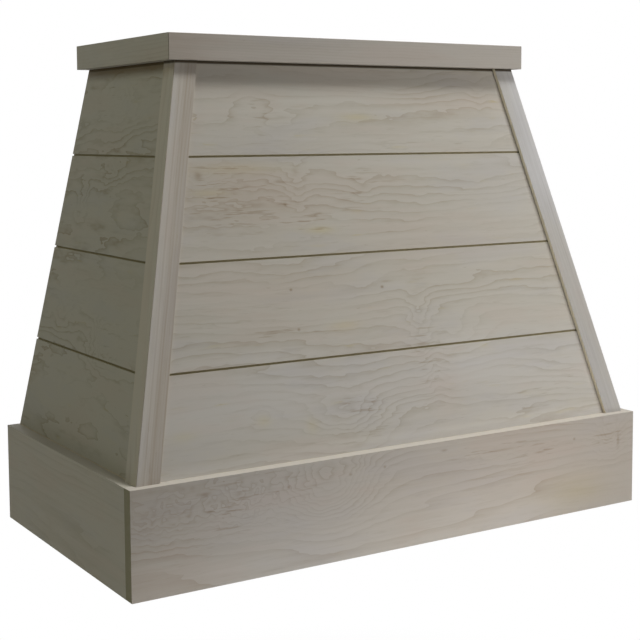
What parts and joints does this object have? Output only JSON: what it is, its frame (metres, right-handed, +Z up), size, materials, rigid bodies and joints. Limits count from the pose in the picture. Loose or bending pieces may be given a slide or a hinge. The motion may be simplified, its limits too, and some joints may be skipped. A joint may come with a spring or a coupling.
{
  "type": "wooden range hood cover",
  "caption": "Tapered wall-mounted wooden range hood cover with grooved plywood faces, corner strips, a square apron and a top band, open at the back, top and bottom.",
  "frame": {"origin": "centre of the hood's bounding box in plan, at the lower edge of the apron", "axes": "+Z up, +Y towards the wall that the hood hangs on, +X to the right seen from the front"},
  "size_m": [0.9144, 0.48, 0.762],
  "materials": {
    "maple_solid": "sanded, unfinished solid maple",
    "maple_plywood": "sanded, unfinished rotary-cut maple plywood",
    "frame_wood": "planed, unfinished frame wood"
  },
  "bodies": {
    "root": {"apron_front": "maple_solid", "apron_left": "maple_solid", "apron_right": "maple_solid", "top_band_front": "maple_solid", "top_band_left": "maple_solid", "top_band_right": "maple_solid", "corner_strip_front_left": "maple_solid", "corner_strip_front_right": "maple_solid", "corner_strip_side_left": "maple_solid", "corner_strip_side_right": "maple_solid", "front_panel": "maple_plywood", "side_panel_left": "maple_plywood", "side_panel_right": "maple_plywood", "base_gusset_front_left": "maple_plywood", "base_gusset_front_right": "maple_plywood", "base_gusset_rear_left": "maple_plywood", "base_gusset_rear_right": "maple_plywood", "base_rail_front": "frame_wood", "base_rail_left": "frame_wood", "base_rail_right": "frame_wood", "base_rail_rear": "frame_wood", "crown_rail_front": "frame_wood", "crown_rail_left": "frame_wood", "crown_rail_right": "frame_wood", "crown_rail_rear": "frame_wood", "corner_post_left": "frame_wood", "corner_post_right": "frame_wood", "rear_stile_left": "frame_wood", "rear_stile_right": "frame_wood", "hanging_rail": "frame_wood"}
  },
  "joints": []
}
